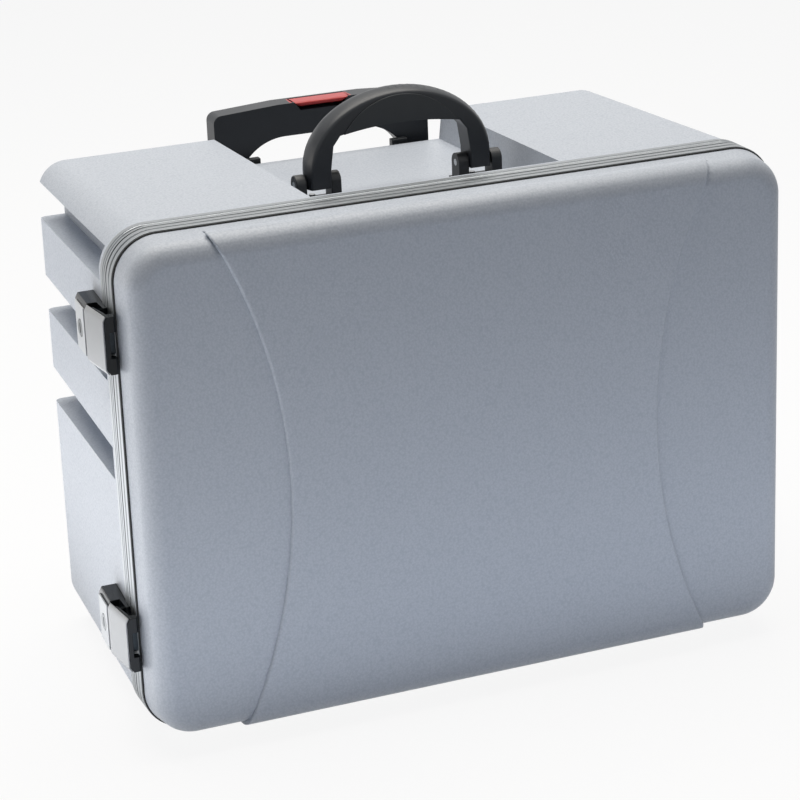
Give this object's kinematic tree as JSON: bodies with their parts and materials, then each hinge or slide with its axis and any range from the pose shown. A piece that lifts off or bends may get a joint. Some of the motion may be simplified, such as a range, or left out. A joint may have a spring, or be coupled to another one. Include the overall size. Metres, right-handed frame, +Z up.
{
  "type": "hard tool case",
  "caption": "Upright hard tool case with moulded shells in metal frames, hinged lid, side latches, carry handle, telescopic pull handle and wheels.",
  "frame": {"origin": "on the ground, under the middle of the whole case", "axes": "+X points to the hinge side, +Y to the rear wall with the pull handle, +Z up; the lid faces -Y"},
  "size_m": [0.52, 0.3116, 0.4286],
  "materials": {
    "shell_grey_abs": "leather grain",
    "lid_grey_abs": "leather grain",
    "frame_aluminium": "satin anodised",
    "black_rubber": "matte",
    "black_plastic": "satin",
    "handle_plastic": "fine texture",
    "cover_grey": "satin",
    "bright_steel": "bright zinc",
    "hinge_steel": "nickel plated",
    "tube_aluminium": "anodised",
    "red_plastic": "satin",
    "hub_plastic": "satin",
    "tyre_rubber": "matte"
  },
  "bodies": {
    "base": {"base_shell": "shell_grey_abs", "base_frame": "frame_aluminium", "frame_seal": "black_rubber", "latch_housing_upper": "black_plastic", "latch_housing_lower": "black_plastic", "latch_plate_upper": "cover_grey", "latch_plate_lower": "cover_grey", "latch_pins": "bright_steel", "frame_rivets": "bright_steel", "hinge_base_leaf_upper": "hinge_steel", "hinge_base_leaf_lower": "hinge_steel", "hinge_pins": "bright_steel", "handle_bracket_left": "black_plastic", "handle_bracket_right": "black_plastic", "handle_pins": "bright_steel", "bracket_screws": "bright_steel", "outer_tube_left": "tube_aluminium", "outer_tube_right": "tube_aluminium", "tube_top_bracket_left": "black_plastic", "tube_top_bracket_right": "black_plastic", "tube_foot_bracket_left": "black_plastic", "tube_foot_bracket_right": "black_plastic", "tube_screws": "bright_steel", "wheel_housing_left": "black_plastic", "wheel_housing_right": "black_plastic", "wheel_axles": "bright_steel", "axle_clips": "bright_steel", "front_foot_left": "black_rubber", "front_foot_right": "black_rubber", "foot_screws": "bright_steel"},
    "lid": {"lid_shell": "lid_grey_abs", "lid_frame": "frame_aluminium", "lid_trim": "black_rubber", "keeper_upper": "bright_steel", "keeper_lower": "bright_steel", "hinge_lid_leaf_upper": "hinge_steel", "hinge_lid_leaf_lower": "hinge_steel", "lid_rivets": "bright_steel"},
    "latch_flap_upper": {"latch_flap_upper": "black_plastic", "flap_cover_upper": "cover_grey"},
    "latch_flap_lower": {"latch_flap_lower": "black_plastic", "flap_cover_lower": "cover_grey"},
    "lock_upper": {"lock_cylinder_upper": "bright_steel"},
    "lock_lower": {"lock_cylinder_lower": "bright_steel"},
    "carry_handle": {"carry_handle": "handle_plastic"},
    "middle_tubes": {"middle_tube_left": "tube_aluminium", "middle_tube_right": "tube_aluminium"},
    "pull_grip": {"inner_tube_left": "tube_aluminium", "inner_tube_right": "tube_aluminium", "pull_grip_front": "handle_plastic", "pull_grip_rear": "handle_plastic", "grip_screws": "bright_steel"},
    "release_button": {"release_button": "red_plastic", "release_rods": "bright_steel"},
    "wheel_left": {"wheel_hub_left": "hub_plastic", "tyre_left": "tyre_rubber"},
    "wheel_right": {"wheel_hub_right": "hub_plastic", "tyre_right": "tyre_rubber"}
  },
  "joints": [
    {"name": "lid_hinge", "type": "hinge", "parent": "base", "child": "lid", "pos_m": [0.257, -0.1111, 0.195], "axis": [0, 0, 1], "range_deg": [0, 110]},
    {"name": "latch_upper_swing", "type": "hinge", "parent": "base", "child": "latch_flap_upper", "pos_m": [-0.2556, -0.10025, 0.305], "axis": [0, 0, -1], "range_deg": [0, 80]},
    {"name": "latch_lower_swing", "type": "hinge", "parent": "base", "child": "latch_flap_lower", "pos_m": [-0.2556, -0.10025, 0.085], "axis": [0, 0, -1], "range_deg": [0, 80]},
    {"name": "lock_upper_turn", "type": "hinge", "parent": "base", "child": "lock_upper", "pos_m": [-0.255, -0.08245, 0.305], "axis": [-1, 0, 0], "range_deg": [0, 90]},
    {"name": "lock_lower_turn", "type": "hinge", "parent": "base", "child": "lock_lower", "pos_m": [-0.255, -0.08245, 0.085], "axis": [-1, 0, 0], "range_deg": [0, 90]},
    {"name": "carry_handle_swing", "type": "hinge", "parent": "base", "child": "carry_handle", "pos_m": [0.003, -0.01875, 0.36514], "axis": [1, 0, 0], "range_deg": [-90, 90]},
    {"name": "pull_lower_slide", "type": "slide", "parent": "base", "child": "middle_tubes", "axis": [0, 0, 1], "range_m": [0, 0.25]},
    {"name": "pull_upper_slide", "type": "slide", "parent": "middle_tubes", "child": "pull_grip", "axis": [0, 0, 1], "range_m": [0, 0.25]},
    {"name": "release_press", "type": "slide", "parent": "pull_grip", "child": "release_button", "axis": [0, 0, -1], "range_m": [0, 0.003], "stiffness_N_per_m": 900, "springref_m": -0.002},
    {"name": "wheel_left_roll", "type": "hinge", "parent": "base", "child": "wheel_left", "pos_m": [-0.175, 0.10975, 0.027], "axis": [1, 0, 0], "continuous": true},
    {"name": "wheel_right_roll", "type": "hinge", "parent": "base", "child": "wheel_right", "pos_m": [0.181, 0.10975, 0.027], "axis": [1, 0, 0], "continuous": true}
  ]
}
